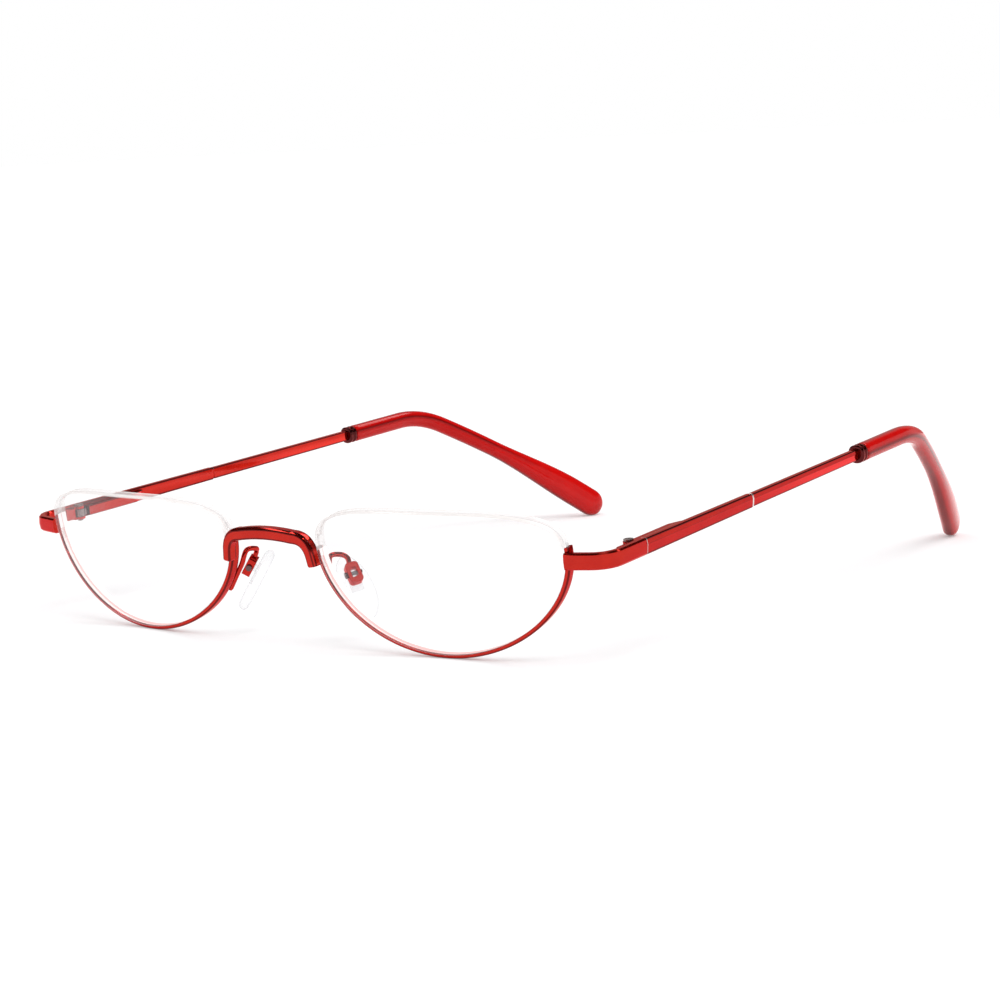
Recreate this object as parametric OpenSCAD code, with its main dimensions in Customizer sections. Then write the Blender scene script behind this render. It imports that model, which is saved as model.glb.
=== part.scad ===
// Half-moon glasses: a metal under-rim frame with sprung hinges, nose pads and curved clear lenses.
// Millimetres. They stand on the two rims and the two temple tips, front towards -Y, wearer's left at +X.

/* [Lens] */
// Half of the width of one lens
lens_half_w = 24.6; // [21:0.2:27]
// Depth of the lens below its widest level
lens_low = 17.5; // [14:0.1:20]
// Height of the lens above its widest level
lens_high = 7.5; // [5:0.2:10]
// Thickness of the lens at its edge
lens_t = 2.6; // [2.4:0.1:3.2]
// Radius of the domed front face of the lens
lens_r = 94; // [80:1:160]
// How far the widest level of the lens stands above the temples
lens_rise = 0.5; // [0:0.1:2]
// Angle that each lens is turned back at its outer end
wrap = 5.7; // [3:0.1:9]
// Angle that the front leans over the temples
lean = 7.3; // [3:0.1:9]
// Angle that the outer end of each lens hangs down
droop = 1; // [0:0.1:3]

/* [Rim] */
// Depth of the rim's channel from front lip to back lip
rim_depth = 1.6; // [1.5:0.1:2.2]
// Thickness of the rim from the lens to its outer face
rim_t = 0.76; // [0.7:0.02:1]
// Height of the tongue on the lens that sits in the channel
tongue = 0.42; // [0.3:0.02:0.48]
// Radius of the nylon cord that holds the top of the lens
cord_r = 0.2; // [0.15:0.01:0.22]

/* [Bridge] */
// Clear width between the two lenses
lens_gap = 21.8; // [18:0.2:26]
// Height of the bridge bar's middle above the temples
bridge_rise = 2.6; // [2.5:0.1:5]
// Height of the bar that the bridge is bent from
bar_h = 2.2; // [1.6:0.1:2.6]
// Depth of the bar that the bridge is bent from
bar_d = 1.9; // [1.4:0.1:2.2]
// How far the bridge's feet run down the rims below the lens's widest level
foot_drop = 3.1; // [2.5:0.1:5]

/* [Nose pads] */
// Length of the nose pad
pad_len = 12.6; // [10:0.2:15]
// Width of the nose pad
pad_w = 6.2; // [5.4:0.2:9]
// Thickness of the nose pad
pad_t = 1.9; // [1.7:0.1:2.6]
// Distance of the pad's box behind the rim
pad_back = 4.4; // [4:0.1:6]
// Depth of the pad's box below the lens's widest level
pad_drop = 6.3; // [5.2:0.1:7]
// Angle of the pads from upright, seen from the front
pad_lean = 34; // [25:1:40]
// Angle that the pads open towards the face
pad_splay = 30; // [22:1:38]
// Radius of the wire that carries the pad
wire_r = 0.45; // [0.35:0.05:0.55]

/* [Hinge] */
// Width of the frame over the two hinge seams
frame_w = 134; // [126:1:142]
// Distance of the hinge seam behind the lens
hinge_back = 18.4; // [16.4:0.2:22]
// Height of the endpiece
end_h = 2.8; // [2.8:0.1:3.4]
// Thickness of the endpiece
end_t = 1.4; // [1.3:0.1:1.9]
// Outer bend radius of the endpiece
end_r = 4.5; // [3:0.5:5.5]
// Radius of the hinge barrel
barrel_r = 0.95; // [0.85:0.05:1.05]
// Radius of the hinge screw
screw_r = 0.5; // [0.4:0.05:0.55]
// Height of the middle barrel, on the slider
eye_h = 1.4; // [1.3:0.1:1.8]
// Height of each barrel of the fork
leaf_h = 0.5; // [0.4:0.1:0.8]
// Length of the spring housing on the temple
housing_len = 15; // [14:0.5:18]

/* [Temple] */
// Length of the temple from the seam to the end of the tip, along the curve
temple_len = 147; // [134:1:152]
// Angle that each temple leans inwards
toe = 3.2; // [1:0.2:5]
// Height of the temple at the seam
temple_h = 2.75; // [2.4:0.05:3.2]
// Thickness of the temple
temple_t = 1.3; // [1.1:0.1:1.5]
// Place of the turned groove, from the seam
groove_s = 34.4; // [28:0.2:45]
// Place of the front of the plastic tip's collar, from the seam
collar_s = 72.8; // [60:0.2:76]
// Length of the collar
collar_len = 2; // [1.6:0.1:3]
// Where the temple starts to bend, from the seam
bend_s = 89; // [82:1:92]
// Radius of the bend behind the ear
bend_r = 20.8; // [15:0.2:28]
// Angle of the bend behind the ear
bend_a = 33.4; // [25:0.2:40]
// Slow further bend along the tip
tip_a = 10.6; // [6:0.2:14]
// Angle that the bend is turned in towards the head
bend_roll = 25.6; // [10:0.2:35]
// Thickness of the tip's sleeve
tip_t = 3.2; // [2.6:0.1:3.6]
// Height of the tip's sleeve
tip_h = 3.4; // [2.8:0.1:3.8]
// Width of the paddle at the tip's end
paddle_w = 5.9; // [4.5:0.1:7]

/* [Hidden] */

// Gap between soldered or glued faces
seat = 0.02;
// Radial clearance of a pin that turns
running = 0.05;
// Roundness of the lens outline below and above its widest level
curve_low = 1.93;
curve_top = 3;
// Chamfer on the edge of the lens
lens_bevel = 0.25;
// Half width of the tongue's root, and of the channel around it
tongue_w = 0.42;
channel_w = 0.5;
// Depth of the groove in the lens's top edge
groove_d = 2 * cord_r + 0.15;
// Steps along the lower and the upper edge of the lens
low_steps = 30;
top_steps = 17;
// Height of the rim's outer end above the widest level, and drop of its inner end
rim_end_rise = 1.2;
rim_end_drop = 0.5;
// Thickness of the channel's web
web = 0.2;

// Middle of the domed face, halfway between the lens's foot and this level
dome_top = 7;
dome_q = (dome_top - lens_low) / 2;
lens_x = lens_gap / 2 + lens_half_w * cos(wrap);

function signed_pow(v, e) = sign(v) * pow(abs(v), e);
function outline(u) = let (
    below = sin(u) < 0,
    e = 2 / (below ? curve_low : curve_top),
    depth = below ? lens_low : lens_high
) [lens_half_w * signed_pow(cos(u), e), depth * signed_pow(sin(u), e)];
function unit(v) = v / norm(v);
function edge_normal(u) = let (d = unit(outline(u + 0.5) - outline(u - 0.5))) [d.y, -d.x];
function sag(p, q) = sqrt(lens_r * lens_r - p * p - (q - dome_q) * (q - dome_q)) - lens_r;

// A point of the front: p across, q up and w forward, in the plane of the left lens
function front_pt(p, q, w) = let (
    across = p * cos(droop) + q * sin(droop),
    up = q * cos(droop) - p * sin(droop),
    back = across * sin(wrap) - w * cos(wrap)
) [lens_x + across * cos(wrap) + w * sin(wrap),
    back * cos(lean) - up * sin(lean),
    back * sin(lean) + up * cos(lean) + lens_rise];

// A point at the lens's edge: n outwards from the outline and w forward of the middle of its thickness
function edge_pt(u, n, w) = let (
    o = outline(u),
    m = edge_normal(u),
    p = o.x + m.x * n,
    q = o.y + m.y * n
) front_pt(p, q, sag(p, q) - lens_t / 2 + w);

// Angle along the lower inner edge at a drop below the widest level, and along the upper outer edge
function inner_u(drop) = 180 + asin(pow(drop / lens_low, curve_low / 2));
function outer_u(rise) = 360 + asin(pow(rise / lens_high, curve_top / 2));
rim_a = inner_u(rim_end_drop);
rim_b = outer_u(rim_end_rise);
low_u = [for (i = [0:low_steps]) rim_a + (360 - rim_a) * i / low_steps];
top_u = [for (i = [1:top_steps]) rim_b + (540 - rim_b) * i / top_steps];
rim_u = concat(low_u, [rim_b]);
lens_u = concat(rim_u, top_u);

// Solid through a row of rings, with its two ends closed
function average(ring) = [for (p = ring) 1] * ring / len(ring);
module loft(rings) {
    n = len(rings[0]);
    m = len(rings);
    ends = [average(rings[0]), average(rings[m - 1])];
    sides = [for (j = [0:m - 2]) for (i = [0:n - 1]) let (k = (i + 1) % n)
        each [[j * n + i, j * n + k, j * n + n + i], [j * n + k, j * n + n + k, j * n + n + i]]];
    first = [for (i = [0:n - 1]) [m * n, (i + 1) % n, i]];
    last = [for (i = [0:n - 1]) [m * n + 1, m * n - n + i, m * n - n + (i + 1) % n]];
    polyhedron(concat([for (r = rings) each r], ends), concat(sides, first, last));
}

// Solid through a row of rings that comes back to its start, such as a sleeve open at both ends
module sleeve(rings) {
    n = len(rings[0]);
    m = len(rings);
    sides = [for (j = [0:m - 1]) for (i = [0:n - 1]) let (k = (i + 1) % n, h = (j + 1) % m)
        each [[j * n + i, j * n + k, h * n + i], [j * n + k, h * n + k, h * n + i]]];
    polyhedron([for (r = rings) each r], sides);
}

// Rings of a profile carried along a path, with the profile's second axis kept near the side given
function tangent(path, i) = unit(path[min(i + 1, len(path) - 1)] - path[max(i - 1, 0)]);
function carry(path, profile, side) = [for (i = [0:len(path) - 1]) let (
    t = tangent(path, i),
    s = unit(cross(t, side)),
    v = cross(s, t)
) [for (c = profile) path[i] + c.x * s + c.y * v]];
function round_profile(r, n) = [for (i = [0:n - 1]) [r * cos(360 * i / n), r * sin(360 * i / n)]];

// Rim: a channel of thin metal round the lower edge of the lens
function rim_profile() = let (
    n0 = seat,
    n1 = rim_t,
    w = rim_depth / 2,
    c = 0.2,
    floor_n = n1 - web
) [[n0, channel_w], [floor_n, channel_w], [floor_n, -channel_w], [n0, -channel_w],
    [n0, -w], [n1 - c, -w], [n1, c - w], [n1, w - c], [n1 - c, w], [n0, w]];
rim_rings = [for (u = rim_u) [for (c = rim_profile()) edge_pt(u, c.x, c.y)]];

// Lens: rings from the middle of the front face over the edge to the middle of the back face
function tooth(i) = i > 1 && i < low_steps - 1 ? tongue : i <= low_steps + 1 ? 0 : -groove_d;
function face_ring(k, w) = [for (u = lens_u) let (o = outline(u) * k)
    front_pt(o.x, o.y + (1 - k) * dome_q, sag(o.x, o.y + (1 - k) * dome_q) + w)];
function edge_ring(n, w) = [for (u = lens_u) edge_pt(u, n, w)];
function tooth_ring(w) = [for (i = [0:len(lens_u) - 1]) edge_pt(lens_u[i], tooth(i), w)];
face_steps = [0.3, 0.62, 0.86];
lens_rings = concat(
    [for (k = face_steps) face_ring(k, 0)],
    [edge_ring(-lens_bevel, lens_t / 2), edge_ring(0, lens_t / 2 - lens_bevel), edge_ring(0, tongue_w)],
    [tooth_ring(tongue_w * 0.7), tooth_ring(-tongue_w * 0.7)],
    [edge_ring(0, -tongue_w), edge_ring(0, lens_bevel - lens_t / 2), edge_ring(-lens_bevel, -lens_t / 2)],
    [for (k = [2:-1:0]) face_ring(face_steps[k], -lens_t)]);

// Nylon cord: over the top edge of the lens, with its ends in the channel of the rim
cord_in_rim = seat + cord_r + running;
cord_on_lens = cord_r - groove_d + running;
cord_u = concat([low_u[low_steps - 1], 360, rim_b], top_u, [for (i = [0:1]) low_u[i] + 360]);
function cord_n(i) = i < 3 || i > len(cord_u) - 4 ? cord_in_rim : cord_on_lens;
cord_sides = 8;
cord_rings = [for (i = [0:len(cord_u) - 1])
    [for (c = round_profile(cord_r, cord_sides)) edge_pt(cord_u[i], cord_n(i) + c.x, c.y)]];

// Bridge: one bar bent over the nose, its feet soldered to the front lips of the rims
bar_w = rim_depth / 2 + 6 * seat + bar_d / 2;
bar_n = 3 * seat + bar_h * 0.42;
foot_pt = edge_pt(inner_u(foot_drop), bar_n, bar_w);
knee_pt = edge_pt(inner_u(rim_end_drop), bar_n, bar_w);
corner_pt = foot_pt + (knee_pt - foot_pt) * (bridge_rise - foot_pt.z) / (knee_pt.z - foot_pt.z);
bend = 3.2;
arch_up = 0.5;
arch_out = 0.3;
corner_in = corner_pt + unit(foot_pt - corner_pt) * bend;
corner_out = corner_pt - [bend, 0, 0];
function corner_curve(t) = (1 - t) * (1 - t) * corner_in + 2 * t * (1 - t) * corner_pt + t * t * corner_out;
function arch(x) = let (k = 1 - pow(x / corner_out.x, 2)) [x, corner_out.y - arch_out * k, corner_out.z + arch_up * k];
half_bridge = concat([foot_pt, (foot_pt + corner_in) / 2], [for (t = [0:0.125:1]) corner_curve(t)],
    [for (k = [0.75, 0.5, 0.25]) arch(corner_out.x * k)]);
bridge_path = concat(half_bridge, [arch(0)], [for (i = [len(half_bridge) - 1:-1:0])
    [-half_bridge[i].x, half_bridge[i].y, half_bridge[i].z]]);
function bar_profile(h, d) = let (a = h / 2, b = d / 2, c = 0.28, e = 0.55) [[a, b - c], [a - c, b],
    [c - a, b], [-a, b - c], [-a, c - b], [c - a, -b], [0.2 * a, -b], [a - e, -b], [a - e / 4, e * 0.75 - b], [a, e - b]];
bar_k = 0.82;
bar_last = len(bridge_path) - 1;
function bar_size(i) = let (k = min(i, bar_last - i)) k < 3 ? bar_k : min(1, bar_k + (1 - bar_k) * (k - 2) / 7);
bridge_rings = [for (i = [bar_last:-1:0]) let (
    t = tangent(bridge_path, i),
    s = unit(cross([0, 1, 0], t)),
    v = cross(t, s)
) [for (c = bar_profile(bar_h * bar_size(i), bar_d)) bridge_path[i] + c.x * s + c.y * v]];

// Endpiece: a flat bar from the front of the rim's outer end, bent back to the hinge seam
plate_w = rim_depth / 2 + 0.9;
plate_pt = edge_pt(360, 0.2, plate_w);
seam_pt = [frame_w / 2, hinge_back, 0];
plate_a = 14.4;
side_dir = [-sin(toe), cos(toe)];
plate_dir = [cos(plate_a), sin(plate_a)];
function crossing(a, da, b, db) = a + da * ((b.x - a.x) * db.y - (b.y - a.y) * db.x) / (da.x * db.y - da.y * db.x);
end_corner = crossing([plate_pt.x, plate_pt.y], plate_dir, [seam_pt.x, seam_pt.y], side_dir);
end_turn = 90 + toe - plate_a;
end_reach = end_r * tan(end_turn / 2);
arc_start = end_corner - plate_dir * end_reach;
arc_mid = arc_start + end_r * [-plate_dir.y, plate_dir.x];
end_steps = 10;
function end_arc(i, t) = let (a = plate_a - 90 + end_turn * i / end_steps) arc_mid + (end_r - t) * [cos(a), sin(a)];
function end_line(t) = concat(
    [[plate_pt.x, plate_pt.y] + t * [-plate_dir.y, plate_dir.x]],
    [for (i = [0:end_steps]) end_arc(i, t)],
    [[seam_pt.x, seam_pt.y] - t * [side_dir.y, -side_dir.x]]);
function end_level(t, z) = [for (p = end_line(t)) [p.x, p.y, z]];
end_c = 0.3;
end_z = end_h / 2;
end_rows = [end_level(0, end_z - end_c), end_level(end_c, end_z), end_level(end_t - end_c, end_z),
    end_level(end_t, end_z - end_c), end_level(end_t, end_c - end_z), end_level(end_t - end_c, -end_z),
    end_level(end_c, -end_z), end_level(0, end_c - end_z), end_level(-0.12, 0)];
end_rings = [for (i = [0:end_steps + 2]) [for (row = end_rows) row[i]]];
module at_rim_end() {
    translate(edge_pt(360, 0, 0)) rotate([lean, 0, 0]) rotate([0, 0, wrap]) rotate([0, droop, 0]) children();
}

// Hinge, in the frame of the seam: outer face at x = 0, temple towards +y
eye_clear = 0.1;
axis_x = -max(end_t, temple_t) - eye_clear - barrel_r;
axis_y = -1.5;
fork_z = eye_h / 2 + running + leaf_h;
fork_block_z = min(fork_z, end_z - 0.45);
eye_gap = running;
travel = 1.2;
shank_y = 3.2;
shank_x = 1.1;
shank_z = min(1.2, eye_h - 0.1);
shoulder_y = 3.5;
shoulder_t = 0.7;
rod_r = 0.34;
spring_wire = 0.11;
spring_r = 0.5;
spring_y = shoulder_y + shoulder_t;
coil_turns = 9;
coil_spare = 0.3;
stop_y = spring_y + travel + coil_turns * (2 * spring_wire + coil_spare);
stop_t = 0.6;
chamber_r = 0.65;
housing_x = chamber_r + 0.25 - axis_x - temple_t - seat;
housing_z = 1.8;
butt = 0.12;

module at_seam() {
    translate(seam_pt) rotate([0, 0, toe]) children();
}
module along_y(r, a, b) {
    translate([0, a, 0]) rotate([-90, 0, 0]) cylinder(r = r, h = b - a, $fn = 48);
}
module block(low, high) {
    translate(low) cube(high - low);
}

// Coil of the hinge spring
coil_steps = 8;
coil_len = stop_y - spring_y - 2 * spring_wire - 2 * seat;
coil_path = [for (i = [0:coil_turns * coil_steps]) let (a = 360 * i / coil_steps)
    [axis_x + spring_r * cos(a), spring_y + seat + spring_wire + coil_len * i / (coil_turns * coil_steps),
        spring_r * sin(a)]];

// Temple line, in the frame of the seam: straight, then a bend, then a slow curve to the end
core_x = -temple_t / 2;
bend_side = [-sin(bend_roll), 0, -cos(bend_roll)];
bend_axis = cross([0, 1, 0], bend_side);
bend_end = bend_s + bend_r * bend_a * PI / 180;
slow_r = (temple_len - bend_end) / (tip_a * PI / 180);
function turned(s) = s < bend_s ? 0 : s < bend_end ? (s - bend_s) / bend_r * 180 / PI
    : bend_a + (s - bend_end) / slow_r * 180 / PI;
function ahead(s) = let (a = turned(s)) s < bend_s ? s : s < bend_end ? bend_s + bend_r * sin(a)
    : bend_s + bend_r * sin(bend_a) + slow_r * (sin(a) - sin(bend_a));
function aside(s) = let (a = turned(s)) s < bend_s ? 0 : s < bend_end ? bend_r * (1 - cos(a))
    : bend_r * (1 - cos(bend_a)) + slow_r * (cos(bend_a) - cos(a));
function line_pt(s) = [core_x, ahead(s), 0] + aside(s) * bend_side;
// A point of a section at s: x across the temple and z up it
function section_pt(s, x, z) = let (
    a = turned(s),
    b = -sin(a) * [0, 1, 0] + cos(a) * bend_side
) line_pt(s) + x * (-sin(bend_roll) * b + cos(bend_roll) * bend_axis_out)
    + z * (-cos(bend_roll) * b - sin(bend_roll) * bend_axis_out);
bend_axis_out = [cos(bend_roll), 0, -sin(bend_roll)];

// Temple: a flat bar with a ridge along its outer face, thinned to a core inside the tip
core_h = 1.5;
core_t = 0.9;
core_end = bend_end + 14;
groove_w = 0.5;
groove_in = 0.14;
ridge_up = 0.14;
wire_h = 2.05;
wire_t = 1.2;
mid_h = 2.4;
function temple_section(s, h, t, ridge) = let (c = min(0.25, h / 6, t / 4), x = t / 2, z = h / 2)
    [for (p = [[x + ridge, ridge_up * h], [x - c * 0.6, z - c], [x - 2 * c, z], [c - x, z], [-x, z - c],
        [-x, c - z], [c - x, -z], [x - 2 * c, -z], [x - c * 0.6, c - z]]) section_pt(s, p.x, p.y)];
function bar_at(s) = s < groove_s ? temple_h + (mid_h - temple_h) * s / groove_s
    : mid_h - 0.15 + (wire_h - mid_h + 0.15) * (s - groove_s) / (collar_s - groove_s);
ridge_out = 0.1;
core_steps = [for (k = [0:1:5]) bend_s + (bend_end - bend_s) * k / 5];
temple_rings = concat(
    [for (s = [butt, groove_s / 2, groove_s - groove_w / 2]) temple_section(s, bar_at(s), temple_t, ridge_out)],
    [for (s = [groove_s - groove_w / 4, groove_s + groove_w / 4])
        temple_section(s, bar_at(s) - 2 * groove_in, temple_t - 2 * groove_in, ridge_out)],
    [for (s = [groove_s + groove_w / 2, (groove_s + collar_s) / 2, collar_s + collar_len / 3])
        temple_section(s, bar_at(s), wire_t, ridge_out)],
    [for (s = concat([collar_s + collar_len / 3 + 0.3, (collar_s + bend_s) / 2 + 2], core_steps, [core_end]))
        temple_section(s, core_h, core_t, 0.04)]);

// Tip: a plastic sleeve over the core, swelling to a rounded paddle
tip_sides = 14;
tip_start = collar_s + collar_len + seat;
paddle_from = temple_len - 32;
paddle_to = temple_len - 8;
end_round = 3.4;
function ease(t) = let (k = max(0, min(1, t))) k * k * (3 - 2 * k);
function cap(s) = let (k = (s - temple_len + end_round) / end_round) s < temple_len - end_round ? 1 : sqrt(max(0, 1 - k * k));
function tip_size(s) = let (k = ease((s - paddle_from) / (paddle_to - paddle_from)))
    [(tip_t + 0.5 * k) * cap(s), (tip_h + (paddle_w - tip_h) * k) * cap(s)];
function oval(s, w, h, n, e) = [for (i = [0:n - 1]) let (a = 360 * i / n)
    section_pt(s, w / 2 * signed_pow(cos(a), e), h / 2 * signed_pow(sin(a), e))];
sleeve_s = [for (s = concat([tip_start + 0.35, bend_s - 2], core_steps,
    [for (k = [1:8]) bend_end + (paddle_to - bend_end) * k / 8],
    [for (k = [0:5]) temple_len - end_round * cos(k * 17)])) s];
hole = 2 * running;
hole_end = core_end + 0.5;
hole_s = [for (s = concat([hole_end], [for (k = [5:-1:0]) core_steps[k]], [tip_start])) s];
tip_rings = concat(
    [for (s = hole_s) oval(s, core_t + 0.14 + hole, core_h + hole, tip_sides, 0.35)],
    [oval(tip_start, tip_t - 0.5, tip_h - 0.5, tip_sides, 0.85)],
    [for (s = sleeve_s) oval(s, tip_size(s).x, tip_size(s).y, tip_sides, 0.85)],
    [oval(temple_len - 0.01, 0.5, 0.8, tip_sides, 0.85)]);

// Collar: a short ring between the bar and the plastic
collar_in = 0.35;
collar_sides = 14;
function collar_ring(s, k) = oval(s, tip_t + k, tip_h + k, collar_sides, 0.85);
function collar_hole(s) = oval(s, wire_t + 0.26, wire_h + 0.2, collar_sides, 0.35);
function along(k) = collar_s + k * (collar_len - seat);
collar_rings = [collar_hole(along(1)), collar_hole(along(0)),
    collar_ring(along(0), -0.5), collar_ring(along(0.09), 0), collar_ring(along(0.34), 0),
    collar_ring(along(0.43), -0.35), collar_ring(along(0.57), -0.35), collar_ring(along(0.66), 0),
    collar_ring(along(0.91), 0), collar_ring(along(1), -0.5)];

// Nose pad, in the frame of its box: screw along x, nose towards +y, pad's length along z
pad_rim = edge_pt(inner_u(pad_drop), rim_t / 2, -rim_depth / 2);
box_pt = pad_rim + [0.4, pad_back, 0];
pad_twist = 8;
box_w = 2.4;
box_d = 1.5;
box_h = 3.8;
box_c = 0.7;
window_w = 1.1;
window_h = 1.7;
pin_r = 0.32;
stem_w = 0.9;
stem_h = 1.1;
pad_off = -1.9;
pad_gap = 0.5;
pad_mid = box_d / 2 + pad_gap + pad_t / 2;
core_plate = [2.2, 0.45, 3.6];
pad_sides = 24;
module at_pad() {
    translate(box_pt) rotate([-pad_lean, -pad_twist, 90 - pad_splay]) children();
}
function pad_ring(k, y) = [for (i = [0:pad_sides - 1]) let (a = 360 * i / pad_sides)
    [pad_w / 2 * k * cos(a) * (1 - 0.12 * sin(a)), pad_mid + y * pad_t, pad_off + pad_len / 2 * k * sin(a)]];

// Turn a point from the frame of the pad's box into the frame of the front
function turn_x(p, a) = [p.x, p.y * cos(a) - p.z * sin(a), p.y * sin(a) + p.z * cos(a)];
function turn_y(p, a) = [p.x * cos(a) + p.z * sin(a), p.y, p.z * cos(a) - p.x * sin(a)];
function turn_z(p, a) = [p.x * cos(a) - p.y * sin(a), p.x * sin(a) + p.y * cos(a), p.z];
function from_pad(p) = box_pt + turn_z(turn_y(turn_x(p, -pad_lean), -pad_twist), 90 - pad_splay);

// Pad arm: round wire from the back lip of the rim, up and over to the top of the box
arm_n = wire_r + 10 * seat;
arm_w = -rim_depth / 2 - 3 * seat - wire_r;
arm_foot = edge_pt(inner_u(pad_drop + 3.4), arm_n, arm_w);
arm_rise = edge_pt(inner_u(pad_drop + 0.4), arm_n, arm_w);
arm_clear = edge_pt(inner_u(pad_drop - 1.4), arm_n + 0.3, arm_w - 0.1);
box_top = from_pad([0, 0, box_h / 2 + 5 * seat]);
arm_top = from_pad([0, -0.2, box_h / 2 + 1.1]);
arm_knots = [arm_foot - (arm_rise - arm_foot) * 0.5, arm_foot, arm_rise, arm_clear,
    arm_clear + [-0.6, 0.9, 2.2], arm_top + [-0.7, -0.8, 0.7], arm_top, box_top, box_top + (box_top - arm_top)];
function spline(k, t) = let (a = arm_knots[k], b = arm_knots[k + 1], c = arm_knots[k + 2], d = arm_knots[k + 3])
    0.5 * (2 * b + (c - a) * t + (2 * a - 5 * b + 4 * c - d) * t * t + (3 * b - a - 3 * c + d) * t * t * t);
arm_path = concat([for (k = [0:len(arm_knots) - 4]) for (t = [0:0.25:0.75]) spline(k, t)], [box_top]);
arm_sides = 8;

// The object rests on its rims and tips: the tilt and height that put both on the floor
function at_front(p) = [p.x, p.y * cos(rest_guess) - p.z * sin(rest_guess)];
function tip_in_front(p) = seam_pt + turn_z(p, toe);
rim_low = [for (r = rim_rings) each r];
tip_low = [for (r = tip_rings) for (p = r) tip_in_front(p)];
function height(p, a) = p.y * sin(a) + p.z * cos(a);
function lowest(points, a) = min([for (p = points) height(p, a)]);
tip_far = tip_in_front(line_pt(temple_len)).y;
function settle(a, n) = n == 0 ? a
    : settle(a + atan((lowest(rim_low, a) - lowest(tip_low, a)) / tip_far), n - 1);
rest_guess = 5;
rest_tilt = settle(rest_guess, 5);
floor_z = -lowest(rim_low, rest_tilt);
function depth(p) = p.y * cos(rest_tilt) - p.z * sin(rest_tilt);
front_y = min([for (r = concat(bridge_rings, lens_rings, rim_rings)) for (p = r) depth(p)]);
back_y = max([for (p = tip_low) depth(p)]);

module rest() {
    translate([0, -(front_y + back_y) / 2, floor_z]) rotate([rest_tilt, 0, 0]) children();
}
module left() {
    rest() children();
}
module right() {
    rest() mirror([1, 0, 0]) children();
}

red = [0.78, 0.1, 0.07];
steel = [0.72, 0.72, 0.74];

module rim() {
    color(red) loft(rim_rings);
}
module lens() {
    color([0.93, 0.96, 0.97, 0.35]) loft(lens_rings);
}
module nylon_cord() {
    color([0.95, 0.93, 0.92]) loft(cord_rings);
}
module bridge() {
    color(red) loft(bridge_rings);
}
module endpiece() {
    color(red) difference() {
        loft(end_rings);
        at_rim_end() block([-2, -rim_depth / 2 - 2 * seat, -end_h], [rim_t + 2 * seat, end_t + 1, end_h]);
    }
}
// Two barrels on a block that is soldered inside the endpiece, bored for the screw
module hinge_fork() {
    low = [axis_x - 0.2, axis_y - 3.4, -fork_block_z];
    color(steel) at_seam() difference() {
        union() {
            block(low, [-end_t - seat, axis_y - barrel_r - 0.25, fork_block_z]);
            for (z = [-fork_z, eye_h / 2 + eye_gap]) {
                translate([axis_x, axis_y, z]) cylinder(r = barrel_r, h = leaf_h, $fn = 48);
                block([axis_x - 0.2, axis_y - barrel_r - 0.4, z], [-end_t - seat, axis_y, z + leaf_h]);
            }
        }
        translate([axis_x, axis_y, -fork_z - 1]) cylinder(r = screw_r + running, h = 2 * fork_z + 2, $fn = 48);
    }
}
module hinge_screw() {
    head_t = 0.3;
    slot_w = 0.28;
    color(steel) at_seam() translate([axis_x, axis_y, 0]) difference() {
        union() {
            translate([0, 0, -fork_z - 0.3]) cylinder(r = screw_r, h = 2 * fork_z + 0.4, $fn = 48);
            translate([0, 0, fork_z + seat]) cylinder(r = barrel_r - 0.1, h = head_t, $fn = 48);
        }
        block([-barrel_r, -slot_w / 2, fork_z + head_t - 0.15], [barrel_r, slot_w / 2, fork_z + head_t + 1]);
    }
}
// Eye that turns on the screw, with a shank and a rod that slide in the housing
module hinge_slider() {
    color(steel) at_seam() difference() {
        union() {
            translate([axis_x, axis_y, -eye_h / 2]) cylinder(r = barrel_r, h = eye_h, $fn = 48);
            block([axis_x - shank_x / 2, axis_y + screw_r, -shank_z / 2],
                [axis_x + shank_x / 2, shank_y, shank_z / 2]);
            translate([axis_x, 0, 0]) along_y(rod_r, shank_y - 0.2, stop_y + stop_t);
        }
        translate([axis_x, axis_y, -eye_h]) cylinder(r = screw_r + running, h = 2 * eye_h, $fn = 48);
    }
}
module spring_stop() {
    color(steel) at_seam() translate([axis_x, 0, 0]) difference() {
        along_y(chamber_r - 2 * running, stop_y, stop_y + stop_t);
        along_y(rod_r + 0.01, stop_y - 1, stop_y + stop_t + 1);
    }
}
module hinge_spring() {
    color(steel) at_seam() loft(carry(coil_path, round_profile(spring_wire, 6), [0, 1, 0]));
}
// Housing: soldered inside the temple, hollow for the slider and its spring
module spring_housing() {
    outer_x = -temple_t - seat;
    inner_x = outer_x - housing_x;
    color(red) at_seam() difference() {
        translate([0, 0, -housing_z / 2]) linear_extrude(housing_z) polygon([[outer_x, butt],
            [inner_x, butt], [inner_x, housing_len - 3], [inner_x + 0.9, housing_len - 0.6],
            [outer_x - 0.6, housing_len], [outer_x, housing_len]]);
        block([axis_x - shank_x / 2 - running, -1, -shank_z / 2 - running],
            [axis_x + shank_x / 2 + running, shoulder_y, shank_z / 2 + running]);
        translate([axis_x, 0, 0]) along_y(rod_r + running, 1, spring_y + 1);
        translate([axis_x, 0, 0]) along_y(chamber_r, spring_y, stop_y + stop_t + 0.6);
    }
}
module temple() {
    color(red) at_seam() loft(temple_rings);
}
module tip_collar() {
    color([0.25, 0.02, 0.03]) at_seam() sleeve(collar_rings);
}
module temple_tip() {
    color([0.72, 0.05, 0.06]) at_seam() loft(tip_rings);
}
module pad_arm() {
    color(red) loft(carry(arm_path, round_profile(wire_r, arm_sides), [0.3, -0.6, 0.1]));
}
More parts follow.
